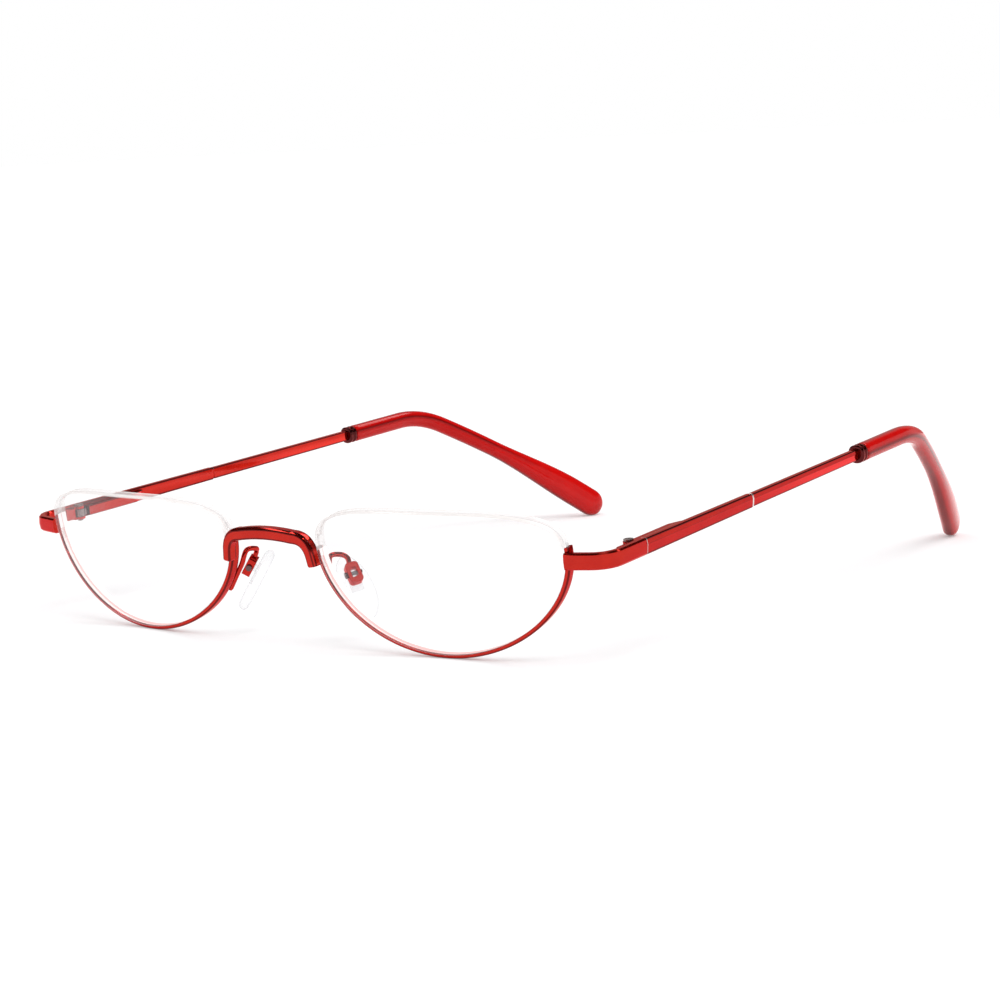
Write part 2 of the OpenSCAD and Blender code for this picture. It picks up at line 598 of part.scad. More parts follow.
// Box with a window for the pad's stem and a cross bore for its screw
module pad_box() {
    color(red) at_pad() difference() {
        translate([0, box_d / 2, 0]) rotate([90, 0, 0]) linear_extrude(box_d) union() {
            square([box_w - 2 * box_c, box_h], center = true);
            square([box_w, box_h - 2 * box_c], center = true);
            for (x = [-1, 1]) for (z = [-1, 1])
                translate([x * (box_w / 2 - box_c), z * (box_h / 2 - box_c)]) circle(r = box_c, $fn = 32);
        }
        block([-window_w / 2, -box_d, -window_h / 2], [window_w / 2, box_d, window_h / 2]);
        translate([-box_w, 0, 0]) rotate([0, 90, 0]) cylinder(r = pin_r + running, h = 2 * box_w, $fn = 32);
    }
}
module pad_screw() {
    color(steel) at_pad() rotate([0, -90, 0]) union() {
        translate([0, 0, -box_w / 2 - 0.35]) cylinder(r = pin_r, h = box_w + 0.4, $fn = 32);
        translate([0, 0, box_w / 2 + seat]) cylinder(r = pin_r + 0.25, h = 0.35, $fn = 32);
    }
}
// Stem and plate that hold the soft pad, turning on the cross screw
module pad_core() {
    plate_y = pad_mid - pad_t / 2;
    color([0.9, 0.9, 0.9]) at_pad() difference() {
        union() {
            block([-stem_w / 2, -box_d / 2 + 0.15, -stem_h / 2], [stem_w / 2, plate_y + 0.1, stem_h / 2]);
            block([-core_plate.x / 2, plate_y, -core_plate.z / 2 + pad_off / 2],
                [core_plate.x / 2, plate_y + core_plate.y, core_plate.z / 2 + pad_off / 2]);
        }
        translate([-box_w, 0, 0]) rotate([0, 90, 0]) cylinder(r = pin_r + running, h = 2 * box_w, $fn = 32);
    }
}
module nose_pad() {
    plate_y = pad_mid - pad_t / 2;
    color([0.95, 0.96, 0.97, 0.5]) at_pad() difference() {
        loft([pad_ring(0.8, -0.5), pad_ring(0.95, -0.3), pad_ring(1, 0.05), pad_ring(0.9, 0.36), pad_ring(0.72, 0.5)]);
        block([-core_plate.x / 2 - seat, plate_y - 1, -core_plate.z / 2 + pad_off / 2 - seat],
            [core_plate.x / 2 + seat, plate_y + core_plate.y + seat, core_plate.z / 2 + pad_off / 2 + seat]);
    }
}

left() rim();  // rim_left
right() rim();  // rim_right
left() lens();  // lens_left
right() lens();  // lens_right
left() nylon_cord();  // nylon_cord_left
right() nylon_cord();  // nylon_cord_right
left() bridge();
left() endpiece();  // endpiece_left
right() endpiece();  // endpiece_right
left() hinge_fork();  // hinge_fork_left
right() hinge_fork();  // hinge_fork_right
left() hinge_screw();  // hinge_screw_left
right() hinge_screw();  // hinge_screw_right
left() pad_arm();  // pad_arm_left
right() pad_arm();  // pad_arm_right
left() pad_box();  // pad_box_left
right() pad_box();  // pad_box_right
left() pad_screw();  // pad_screw_left
right() pad_screw();  // pad_screw_right
left() nose_pad();  // nose_pad_left
right() nose_pad();  // nose_pad_right
left() pad_core();  // pad_core_left
right() pad_core();  // pad_core_right
left() hinge_slider();  // hinge_slider_left
right() hinge_slider();  // hinge_slider_right
left() spring_stop();  // spring_stop_left
right() spring_stop();  // spring_stop_right
left() hinge_spring();  // hinge_spring_left
right() hinge_spring();  // hinge_spring_right
left() temple();  // temple_left
right() temple();  // temple_right
left() spring_housing();  // spring_housing_left
right() spring_housing();  // spring_housing_right
left() tip_collar();  // tip_collar_left
right() tip_collar();  // tip_collar_right
left() temple_tip();  // temple_tip_left
right() temple_tip();  // temple_tip_right
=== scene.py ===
import bpy
import bmesh
import numpy as np
from mathutils import Matrix, Vector


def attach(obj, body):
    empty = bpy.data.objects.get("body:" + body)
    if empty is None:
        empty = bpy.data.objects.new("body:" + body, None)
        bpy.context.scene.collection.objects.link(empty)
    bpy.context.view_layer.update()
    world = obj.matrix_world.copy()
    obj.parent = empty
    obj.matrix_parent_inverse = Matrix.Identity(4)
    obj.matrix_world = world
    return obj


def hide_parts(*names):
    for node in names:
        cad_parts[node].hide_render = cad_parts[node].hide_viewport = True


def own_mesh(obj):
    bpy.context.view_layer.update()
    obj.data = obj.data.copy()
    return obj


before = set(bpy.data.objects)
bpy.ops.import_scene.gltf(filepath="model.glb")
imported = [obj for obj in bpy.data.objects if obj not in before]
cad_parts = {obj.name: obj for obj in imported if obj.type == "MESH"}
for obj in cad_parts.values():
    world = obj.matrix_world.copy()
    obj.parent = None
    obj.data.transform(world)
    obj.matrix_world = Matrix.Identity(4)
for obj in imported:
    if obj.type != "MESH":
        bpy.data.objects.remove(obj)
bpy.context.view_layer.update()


# The view
# The glasses stand open on a pale table, on their two rims and two tips. A long lens looks at them from low
# down, at the wearer's front left.
azimuth, elevation, roll = np.radians([38.962, 7.409, -2.861])
aim = np.array([0.007361, -0.022392, 0.018754])
distance = 0.516565
back = np.array([np.sin(azimuth) * np.cos(elevation), -np.cos(azimuth) * np.cos(elevation),
                 np.sin(elevation)])
aside = np.array([np.cos(azimuth), np.sin(azimuth), 0])
over = np.cross(back, aside)
right = np.cos(roll) * aside + np.sin(roll) * over
upward = np.cos(roll) * over - np.sin(roll) * aside
camera = bpy.data.objects.new("view", bpy.data.cameras.new("view"))
camera.data.sensor_width = 36
camera.data.lens = 100.544
camera.data.clip_start, camera.data.clip_end = 0.01, 50
camera.matrix_world = Matrix(np.block([
    [np.column_stack([right, upward, back]), (aim + distance * back)[:, None]],
    [np.zeros((1, 3)), np.ones((1, 1))]]).tolist())
bpy.context.scene.collection.objects.link(camera)
bpy.context.scene.camera = camera
bpy.context.scene.view_settings.view_transform = "Standard"


# Table, room and light
# The table is wide, flat and pale, and lit softly from above. The room is white with a dark ceiling, a strip
# light, a soft box and a dark gap towards the camera, which the lacquer mirrors as light and dark lines.


class Level:
    """A number inside a node tree. Each operator adds the Math node of its name."""

    def __init__(self, recipe, socket):
        self.recipe, self.socket = recipe, socket

    def maths(self, operation, first, second):
        """A Math node's result on two values, each a Level or a plain number."""
        made = self.recipe.node("ShaderNodeMath", {"operation": operation}, {0: first, 1: second})
        return Level(self.recipe, made.outputs[0])

    def __add__(self, other):
        return self.maths("ADD", self, other)

    def __radd__(self, other):
        return self.maths("ADD", other, self)

    def __sub__(self, other):
        return self.maths("SUBTRACT", self, other)

    def __rsub__(self, other):
        return self.maths("SUBTRACT", other, self)

    def __mul__(self, other):
        return self.maths("MULTIPLY", self, other)

    def __rmul__(self, other):
        return self.maths("MULTIPLY", other, self)

    def most(self, other):
        return self.maths("MAXIMUM", self, other)

    def least(self, other):
        return self.maths("MINIMUM", self, other)


class Recipe:
    """The node tree of a material or of the world, while it is written."""

    def __init__(self, owner):
        owner.use_nodes = True
        self.owner, self.tree = owner, owner.node_tree
        self.tree.nodes.clear()

    def node(self, kind, settings=None, sockets=None):
        """Adds any node: first its settings, such as a ramp's stops, then its sockets' values or links."""
        made = self.tree.nodes.new(kind)
        for name, value in (settings or {}).items():
            if name == "stops":
                while len(made.color_ramp.elements) < len(value):
                    made.color_ramp.elements.new(0.5)
                for stop, (place, shade) in zip(made.color_ramp.elements, value):
                    stop.position, stop.color = place, (*shade, 1)
            else:
                setattr(made, name, value)
        for name, value in (sockets or {}).items():
            socket = made.inputs[name]
            if isinstance(value, Level):
                self.tree.links.new(value.socket, socket)
            elif isinstance(value, bpy.types.NodeSocket):
                self.tree.links.new(value, socket)
            elif socket.type == "RGBA":
                socket.default_value = (*value, 1)
            else:
                socket.default_value = value
        return made

    def number(self, *node, output=0):
        """A new node's output as a Level."""
        return Level(self, self.node(*node).outputs[output])

    def parts(self, vector):
        """The three numbers of a vector."""
        return [Level(self, number) for number in self.node("ShaderNodeSeparateXYZ", {}, {0: vector}).outputs]

    def mix(self, amount, low, high):
        """The colour low where the amount is zero and high where it is one."""
        return self.node("ShaderNodeMix", {"data_type": "RGBA"}, {0: amount, 6: low, 7: high}).outputs[2]

    def noise(self, size, detail=2.0, stretch=(1, 1, 1)):
        """Noise on Object coordinates, about size metres across, and longer where its stretch is small."""
        where = self.node("ShaderNodeTexCoord").outputs["Object"]
        scaled = self.node("ShaderNodeMapping", {}, {"Vector": where, "Scale": stretch}).outputs[0]
        return self.number("ShaderNodeTexNoise", {}, {"Vector": scaled, "Scale": 1 / size, "Detail": detail})

    def end(self, kind, shader):
        """Joins the shader to the output node, and gives the finished material or world."""
        self.node(kind, {}, {"Surface": shader})
        return self.owner


def seen(recipe, *names):
    """One for rays of the named kinds: straight to the camera, by reflection, or through glass."""
    path = recipe.node("ShaderNodeLightPath")
    kinds = [Level(recipe, path.outputs[name]) for name in names]
    return sum(kinds[1:], kinds[0]).least(1.0)


def ramp(value, start, steepness):
    """Zero up to start, then rising by the steepness per unit, as far as one."""
    return ((value - start) * steepness).most(0.0).least(1.0)


room = Recipe(bpy.data.worlds.new("room"))
bpy.context.scene.world = room.owner
white, soft_white, strip_white = (1.0, 1.0, 1.0), (0.76, 0.76, 0.77), (5.0, 5.0, 5.0)
far_wall, dark_gap = (0.50, 0.46, 0.44), (0.10, 0.09, 0.09)
ceiling_stops = [(0.0, white), (0.20, white), (0.34, (0.05, 0.045, 0.045)), (1.0, (0.03, 0.03, 0.03))]
strip_height, strip_thinness = 0.75, 400.0
soft_box = (0.459, -0.265, 0.848)
east, north, height = room.parts(room.node("ShaderNodeTexCoord").outputs["Generated"])
to_camera = east * np.sin(azimuth) - north * np.cos(azimuth)
behind = ramp(0.0 - to_camera, 0.62, 6.0)
ahead = ramp(to_camera, 0.78, 8.0) * ramp(height, 0.03, 12.0)
strip = ((1.0 - (height - strip_height) * (height - strip_height) * strip_thinness).most(0.0)
         * ramp(north * 0.4 - east * 0.6, 0.0, 8.0))
panel = ramp(east * soft_box[0] + north * soft_box[1] + height * soft_box[2], 0.92, 14.0)
ceiling = room.node("ShaderNodeValToRGB", {"stops": ceiling_stops}, {0: height}).outputs[0]
walls = room.mix(ahead, room.mix(behind, ceiling, far_wall), dark_gap)
walls = room.mix(strip, room.mix(panel, walls, white), strip_white)
mirrored = room.mix(seen(room, "Is Glossy Ray", "Is Transmission Ray"), soft_white, walls)
shade = room.mix(seen(room, "Is Camera Ray"), mirrored, white)
room.end("ShaderNodeOutputWorld", room.node("ShaderNodeBackground", {}, {"Color": shade}).outputs[0])

table_mesh = bpy.data.meshes.new("table")
reach = 30.0
table_corners = [(-reach, -reach, 0), (reach, -reach, 0), (reach, reach, 0), (-reach, reach, 0)]
table_mesh.from_pydata(table_corners, [], [(0, 1, 2, 3)])
table = bpy.data.objects.new("table", table_mesh)
bpy.context.scene.collection.objects.link(table)
tabletop = Recipe(bpy.data.materials.new("table_white"))
# A patch of the table at +Y beyond the glasses glows more for reflected rays only: a painted pool of light,
# which the lacquer mirrors.
table_glow, painted_pool_glow, painted_pool_side, painted_pool_front = 0.24, 0.7, 0.125, 0.045
across, along, _ = tabletop.parts(tabletop.node("ShaderNodeTexCoord").outputs["Object"])
painted_light_pool = ramp(painted_pool_side - across, 0.0, 34.0) * ramp(along, painted_pool_front, 24.0)
glow = (seen(tabletop, "Is Camera Ray", "Is Transmission Ray") * table_glow
        + seen(tabletop, "Is Glossy Ray") * (painted_light_pool * painted_pool_glow + table_glow))
matt = tabletop.node("ShaderNodeBsdfDiffuse", {}, {"Color": (0.8, 0.8, 0.8)}).outputs[0]
glow_colour = tabletop.mix(glow, (0, 0, 0), white)
lift = tabletop.node("ShaderNodeEmission", {}, {"Color": glow_colour, "Strength": 1.0}).outputs[0]
both = tabletop.node("ShaderNodeAddShader", {}, {0: matt, 1: lift}).outputs[0]
table_mesh.materials.append(tabletop.end("ShaderNodeOutputMaterial", both))


def sunlight(name, turned, raised, strength, spread, mirrored):
    """A sun lamp, turned from -Y towards +X and raised above the table, its disc spread degrees wide."""
    lamp = bpy.data.objects.new(name, bpy.data.lights.new(name, "SUN"))
    a, e = np.radians([turned, raised])
    beam = Vector((-np.sin(a) * np.cos(e), np.cos(a) * np.cos(e), -np.sin(e)))
    lamp.rotation_euler = beam.to_track_quat("-Z", "Y").to_euler()
    lamp.data.energy, lamp.data.angle, lamp.visible_glossy = strength, np.radians(spread), mirrored
    bpy.context.scene.collection.objects.link(lamp)


sunlight("soft_key", turned=60, raised=58, strength=0.75, spread=28, mirrored=False)
sunlight("soft_fill", turned=150, raised=50, strength=0.35, spread=30, mirrored=False)
sunlight("glint_front", turned=20, raised=52, strength=0.06, spread=4, mirrored=True)
sunlight("glint_side", turned=115, raised=40, strength=0.05, spread=5, mirrored=True)


# Rims
# Each rim is a channel of thin metal strip, bent round the lower edge of its lens and open towards it. It is
# polished, then lacquered a clear red, with a darker red on its rounded edges as painted shade and dark
# reflection.
lens_half_w, lens_low, lens_high = 24.6, 17.5, 7.5
curve_low, curve_top = 1.93, 3.0
lens_t, lens_r, lens_gap, lens_rise = 2.6, 94.0, 21.8, 0.5
wrap, lean, droop = np.radians([5.7, 7.3, 1.0])
dome_top = 7.0
dome_q = (dome_top - lens_low) / 2
lens_x = lens_gap / 2 + lens_half_w * np.cos(wrap)
rest_tilt, rest_lift, middle_y = np.radians(4.84748), 17.0171, 77.3884
rim_depth, rim_t, web, channel_w = 1.6, 0.76, 0.2, 0.5
rim_end_drop, rim_end_rise = 0.5, 1.2
half_depth = rim_depth / 2
gap = 0.02


def unit(v):
    """The vectors along the last axis, each divided by its length."""
    return v / np.linalg.norm(v, axis=-1, keepdims=True)


def outline(u):
    """Superellipse: the half width times cos to a power, and the height times sin to it. The height and the
    power are others below the widest level than above it."""
    u = np.radians(u)
    below = np.sin(u) < -1e-9
    power = 2 / np.where(below, curve_low, curve_top)
    tall = np.where(below, lens_low, lens_high)
    return np.stack([lens_half_w * np.sign(np.cos(u)) * abs(np.cos(u)) ** power,
                     tall * np.sign(np.sin(u)) * abs(np.sin(u)) ** power], -1)


def front_point(p, q, w):
    """Point of the left front: p across, q up and w forward of the lens's middle, turned by droop, then by
    wrap, then by lean."""
    across = p * np.cos(droop) + q * np.sin(droop)
    up = q * np.cos(droop) - p * np.sin(droop)
    behind = across * np.sin(wrap) - w * np.cos(wrap)
    return np.stack([lens_x + across * np.cos(wrap) + w * np.sin(wrap),
                     behind * np.cos(lean) - up * np.sin(lean),
                     behind * np.sin(lean) + up * np.cos(lean) + lens_rise], -1)


def dome(p, q):
    """Drop of the lens's spherical front face below its pole."""
    return np.sqrt(lens_r ** 2 - p ** 2 - (q - dome_q) ** 2) - lens_r


def edge_point(u, n, w):
    """Point by the lens's edge at angle u: n out from the outline, w forward of the middle of the lens."""
    u, n, w = np.broadcast_arrays(u, n, w)
    along = unit(outline(u + 0.5) - outline(u - 0.5))
    p = outline(u)[..., 0] + along[..., 1] * n
    q = outline(u)[..., 1] - along[..., 0] * n
    return front_point(p, q, dome(p, q) - lens_t / 2 + w)


def inner_angle(drop):
    """Angle along the lower inner edge at a drop below the widest level, by the superellipse turned round."""
    return 180 + np.degrees(np.arcsin((drop / lens_low) ** (curve_low / 2)))


def rounded(corners, radius, steps):
    """Closed profile with each corner replaced by a parabola that starts and ends radius away from it, or
    just short of half way along a shorter side."""
    c = np.asarray(corners, float)
    before, after = np.roll(c, 1, 0) - c, np.roll(c, -1, 0) - c
    r = np.broadcast_to(np.asarray(radius, float), len(c))[:, None]
    a = c + unit(before) * np.minimum(r, np.linalg.norm(before, axis=1, keepdims=True) * 0.48)
    b = c + unit(after) * np.minimum(r, np.linalg.norm(after, axis=1, keepdims=True) * 0.48)
    t = np.linspace(0, 1, steps)[None, :, None]
    return ((1 - t) ** 2 * a[:, None] + 2 * t * (1 - t) * c[:, None] + t ** 2 * b[:, None]).reshape(-1, 2)


def stood(points, side):
    """From millimetres about the lenses to metres on the table: tilted back on to the tips, centred, and
    mirrored for the right side."""
    x, y, z = np.moveaxis(points, -1, 0)
    c, s = np.cos(rest_tilt), np.sin(rest_tilt)
    placed = np.stack([x if side == "left" else -x, y * c - z * s - middle_y, y * s + z * c + rest_lift], -1)
    return placed * 0.001


def skin(name, grid, body, finishes, nodes, ends=True, which=None, sharp=38, painted_dark_lines=None):
    """Mesh over a grid of points: rings joined by quads, with fans over its two ends or, without ends, the
    last ring joined to the first. which picks each strip's finish, and painted dark lines are kept as an
    attribute: the plastic's painted dark streak where its core shows, and painted shade along its edges."""
    m, n = grid.shape[:2]
    spots = grid.reshape(-1, 3)
    rows = np.arange(m - 1 if ends else m)[:, None]
    cols = np.arange(n)[None, :]
    here, there, nxt = rows * n, (rows + 1) % m * n, (cols + 1) % n
    quads = np.stack([here + cols, here + nxt, there + nxt, there + cols], -1).reshape(-1, 4)
    fans = np.zeros((0, 3), int)
    if ends:
        spots = np.concatenate([spots, [grid[0].mean(0), grid[-1].mean(0)]])
        c, k = cols[0], nxt[0]
        fans = np.concatenate([np.stack([k, c, np.full(n, m * n)], -1),
                               np.stack([(m - 1) * n + c, (m - 1) * n + k, np.full(n, m * n + 1)], -1)])
    corners = np.concatenate([quads[:, [0, 1, 2]], quads[:, [0, 2, 3]], fans])
    centre = spots.mean(0)
    a, b, c = (spots[corners[:, i]] - centre for i in range(3))
    if (a * np.cross(b, c)).sum() < 0:
        quads, fans = quads[:, ::-1], fans[:, ::-1]
    mesh = bpy.data.meshes.new(name)
    mesh.from_pydata(spots.tolist(), [], quads.tolist() + fans.tolist())
    for finish in finishes:
        mesh.materials.append(finish)
    if which is not None:
        of_quads = np.broadcast_to(which, (m, n))[:len(rows)].reshape(-1)
        faces = np.concatenate([of_quads, np.full(len(fans), of_quads[0])])
        mesh.polygons.foreach_set("material_index", faces.astype(np.int32))
    if painted_dark_lines is not None:
        values = np.concatenate([np.asarray(painted_dark_lines, float).reshape(-1), np.zeros(len(spots) - m * n)])
        mesh.attributes.new("core", "FLOAT", "POINT").data.foreach_set("value", values)
    mesh.polygons.foreach_set("use_smooth", np.ones(len(mesh.polygons), bool))
    mesh.set_sharp_from_angle(angle=np.radians(sharp))
    piece = bpy.data.objects.new(name, mesh)
    bpy.context.scene.collection.objects.link(piece)
    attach(piece, body)
    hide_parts(*nodes)
    return piece


def lacquer(name, deep, bright):
    """Lacquer over bright metal: fine flakes vary the red, slow waves vary the gloss, under a clear coat."""
    recipe = Recipe(bpy.data.materials.new(name))
    flakes = recipe.noise(0.00012, 3.0)
    waves = recipe.noise(0.004, 2.0)
    red = recipe.mix((flakes - 0.5) * 1.6 + (waves - 0.5) * 0.8 + 0.5, deep, bright)
    bump = recipe.node("ShaderNodeBump", {}, {"Strength": 0.02, "Distance": 0.00003, "Height": flakes})
    shader = recipe.node("ShaderNodeBsdfPrincipled", {}, {
        "Base Color": red, "Metallic": 0.95, "Roughness": (waves - 0.5) * 0.1 + 0.15,
        "Specular Tint": (1.0, 0.28, 0.2), "Normal": bump.outputs[0], "Coat Weight": 0.3,
        "Coat Roughness": 0.06})
    return recipe.end("ShaderNodeOutputMaterial", shader.outputs[0])


red_lacquer = lacquer("red_lacquer", (0.44, 0.008, 0.004), (0.60, 0.022, 0.010))
# A darker copy of the lacquer for rounded edges and corners: painted shade and dark reflection.
shaded_edge_lacquer = lacquer("red_lacquer_painted_shade_edges", (0.10, 0.001, 0.001), (0.22, 0.003, 0.002))


def edges_of(profile, steps):
    """One for the strips on a rounded profile's corners, which take a darker lacquer as painted shade, and
    zero for its flats.
    """
    return np.where(np.arange(len(profile)) % steps < steps - 1, 1, 0)[None, :]


rim_from = inner_angle(rim_end_drop)
rim_to = 360 + np.degrees(np.arcsin((rim_end_rise / lens_high) ** (curve_top / 2)))
rim_u = np.concatenate([np.linspace(rim_from, 360, 160), np.linspace(360.6, rim_to, 6)])
rim_steps = 5
rim_profile = rounded([(gap, channel_w), (rim_t - web, channel_w), (rim_t - web, -channel_w),
                       (gap, -channel_w), (gap, -half_depth), (rim_t, -half_depth), (rim_t, half_depth),
                       (gap, half_depth)], [0.04, 0.05, 0.05, 0.04, 0.07, 0.24, 0.24, 0.07], rim_steps)
rim_grid = edge_point(rim_u[:, None], rim_profile[None, :, 0], rim_profile[None, :, 1])
for side in ("left", "right"):
    skin(f"rim_channel_{side}", stood(rim_grid, side), "front", [red_lacquer, shaded_edge_lacquer],
         [f"rim_{side}"], which=edges_of(rim_profile, rim_steps))


# Lenses
# Half-moon lenses of clear moulded plastic, domed towards the front. A tongue along the lower edge sits in
# the rim's channel, and a groove over the polished top edge takes the cord.
lens_bevel, tongue_h, tongue_w, groove_d, tongue_taper = 0.25, 0.42, 0.42, 0.55, 0.7
tongue_from, tongue_to, groove_end = rim_from + 6, 354, 534


def clear(name, tone, body, edge, roughness, smear=0.02, painted_glow=0.0):
    """Clear plastic: a see-through film with a pale gloss of its own, whose share is body face on, grows by
    edge where it turns away, and varies by smear. The last argument is a painted glow: emission standing in
    for the light that the plastic carries to its edge."""
    recipe = Recipe(bpy.data.materials.new(name))
    away = recipe.number("ShaderNodeLayerWeight", {}, {"Blend": 0.5}, output=1)
    smears = recipe.noise(0.006, 3.0)
    share = away * away * away * edge + (smears - 0.5) * smear + body
    film = recipe.node("ShaderNodeBsdfTransparent").outputs[0]
    gloss = recipe.node("ShaderNodeBsdfPrincipled", {}, {
        "Base Color": tone, "Roughness": smears * 0.1 + roughness,
        "Emission Color": tone, "Emission Strength": painted_glow})
    return recipe.end("ShaderNodeOutputMaterial", recipe.node(
        "ShaderNodeMixShader", {}, {0: share, 1: film, 2: gloss.outputs[0]}).outputs[0])


# The edges glow a little by emission: painted light for what clear plastic carries to its edges. In the rim
# the edge is near opaque and pale, with the most glow, painted light over the shaded channel behind it; the
# pink line along the tongue's foot glows too.
lens_face = clear("lens_clear", (0.97, 0.97, 0.98), body=0.02, edge=0.45, roughness=0.0, smear=0.015)
lens_rim = clear("lens_polished_edge", (0.98, 0.94, 0.92), body=0.5, edge=0.3, roughness=0.06, painted_glow=0.08)
lens_seat = clear("lens_edge_in_rim", (0.97, 0.91, 0.90), body=0.9, edge=0.1, roughness=0.08, painted_glow=0.35)
lens_line = clear("lens_edge_pink_line", (0.88, 0.60, 0.58), body=0.9, edge=0.1, roughness=0.08, painted_glow=0.25)

bevel_mid = lens_bevel * 0.3
lens_u = np.concatenate([np.linspace(rim_from, 360, 170), np.linspace(360.6, rim_to, 6),
                         np.linspace(rim_to, rim_from + 360, 130)[1:-1]])
on_top = (lens_u > rim_to) | (lens_u < rim_from)
in_rim = (lens_u > tongue_from) & (lens_u < tongue_to)
tooth = np.where(in_rim, tongue_h, np.where(on_top & (lens_u < groove_end), -groove_d, 0.0))
spread = np.linspace(0.02, 1, 30)
k = spread[:-1, None]
p, q = k * outline(lens_u)[None, :, 0], k * outline(lens_u)[None, :, 1] + (1 - k) * dome_q
front_face, back_face = front_point(p, q, dome(p, q)), front_point(p, q, dome(p, q) - lens_t)
half_t = lens_t / 2
edge_rings = [(-lens_bevel, half_t), (-bevel_mid, half_t - bevel_mid), (0, half_t - lens_bevel),
              (0, tongue_w), (tooth, tongue_w * tongue_taper), (tooth, -tongue_w * tongue_taper),
              (0, -tongue_w), (0, lens_bevel - half_t), (-bevel_mid, bevel_mid - half_t),
              (-lens_bevel, -half_t)]
edge_grid = np.stack([edge_point(lens_u, n, w) for n, w in edge_rings])
lens_grid = np.concatenate([front_face, edge_grid, back_face[::-1]])
ring = np.arange(len(lens_grid))[:, None] - len(front_face)
free = (lens_u <= rim_from) | (lens_u >= rim_to)
faces, front_lip, tongue_foot = (ring < 0) | (ring > len(edge_rings) - 2), ring < 3, ring == 5
ring_finish = np.select([faces, free[None, :], front_lip, tongue_foot], [0, 1, 0, 3], 2)
for side in ("left", "right"):
    skin(f"half_moon_lens_{side}", stood(lens_grid, side), "front",
         [lens_face, lens_rim, lens_seat, lens_line], [f"lens_{side}"], which=ring_finish, sharp=20)


# Nylon cords
# A clear nylon cord lies in the groove over each lens and draws it into the rim. Its two ends run down
# between the lens and the channel, where they are caught.
cord_r, cord_play = 0.2, 0.05
cord_on_lens, cord_in_rim = cord_r - groove_d + cord_play, gap + cord_r + cord_play
groove_from, groove_to = rim_to + 3, 533
cord_u = np.concatenate([[348.0, 356.0], np.linspace(360, rim_to, 5),
                         np.linspace(rim_to, rim_from + 360, 120)[1:], [rim_from + 366, rim_from + 372]])
cord_n = np.where((cord_u > groove_from) & (cord_u < groove_to), cord_on_lens, cord_in_rim)
turn = np.linspace(0, 2 * np.pi, 17)[:-1]
cord_grid = edge_point(cord_u[:, None], cord_n[:, None] + cord_r * np.cos(turn),
                       cord_r * np.sin(turn)[None, :])
nylon = clear("nylon_clear", (0.90, 0.88, 0.88), body=0.35, edge=0.3, roughness=0.12)
for side in ("left", "right"):
    skin(f"cord_{side}", stood(cord_grid, side), "front", [nylon], [f"nylon_cord_{side}"])


# Bridge
# One bar of red lacquered metal, bent over the nose and squeezed thinner towards its ends. Its two feet are
# soldered to the front lips of the rims.
bar_h, bar_d, bridge_rise, foot_drop, bend = 2.2, 1.9, 2.6, 3.1, 3.2
arch_up, arch_out, bar_k = 0.5, 0.3, 0.82
leg_rings, swell_rings, bar_steps, chamfer = 11, 22, 6, 0.42
bar_w, bar_n = half_depth + 6 * gap + bar_d / 2, 3 * gap + bar_h * 0.42
foot = edge_point(inner_angle(foot_drop), bar_n, bar_w)
knee = edge_point(rim_from, bar_n, bar_w)
corner = foot + (knee - foot) * (bridge_rise - foot[2]) / (knee[2] - foot[2])
corner_in, corner_out = corner + unit(foot - corner) * bend, corner - np.array([bend, 0, 0])


def quadratic(a, b, c, t):
    """Parabola from a to c that leaves and arrives along the lines to b."""
    t = t[:, None]
    return (1 - t) ** 2 * a + 2 * t * (1 - t) * b + t ** 2 * c


def path_frame(path, guide):
    """Tangents of a path, and at each the two directions across it, the first square to a guide direction."""
    along = unit(np.gradient(path, axis=0))
    first = unit(np.cross(guide, along))
    return along, first, np.cross(along, first)


leg = foot + (corner_in - foot) * np.linspace(0, 1, leg_rings + 1)[:-1, None]
round_corner = quadratic(corner_in, corner, corner_out, np.linspace(0, 1, 26))
x = corner_out[0] * np.linspace(1, 0, 24)[1:]
rise = 1 - (x / corner_out[0]) ** 2
top = np.stack([x, corner_out[1] - arch_out * rise, corner_out[2] + arch_up * rise], -1)
half_path = np.concatenate([leg, round_corner, top])
bridge_path = np.concatenate([half_path, half_path[-2::-1] * [-1, 1, 1]])
_, up_bar, fore_bar = path_frame(bridge_path, [0, 1, 0])
rank = np.minimum(np.arange(len(bridge_path)), np.arange(len(bridge_path))[::-1])
thick = bar_k + (1 - bar_k) * np.clip((rank - leg_rings) / swell_rings, 0, 1)
tip_round = np.where(rank == 0, 0.82, np.where(rank == 1, 0.97, 1.0))
a, b = bar_h / 2, bar_d / 2
bar_profile = rounded([(a, b), (-a, b), (-a, -b), (a - chamfer, -b), (a, chamfer - b)],
                      [0.42, 0.34, 0.34, 0.2, 0.2], bar_steps)
bar_up = bar_profile[None, :, 0] * (thick * tip_round)[:, None]
bar_fore = bar_profile[None, :, 1] * tip_round[:, None]
bridge_grid = (bridge_path[:, None] + bar_up[..., None] * up_bar[:, None]
               + bar_fore[..., None] * fore_bar[:, None])
# The bar's rounded corners take the darker lacquer: painted shade and dark reflection.
skin("bridge_bar", stood(bridge_grid, "left"), "front", [red_lacquer, shaded_edge_lacquer], ["bridge"],
     which=edges_of(bar_profile, bar_steps))


# Endpieces
# Flat bars of the same red lacquered metal, soldered over the outer ends of the rims and bent back to the
# hinges. Their edges are rounded before they are lacquered.


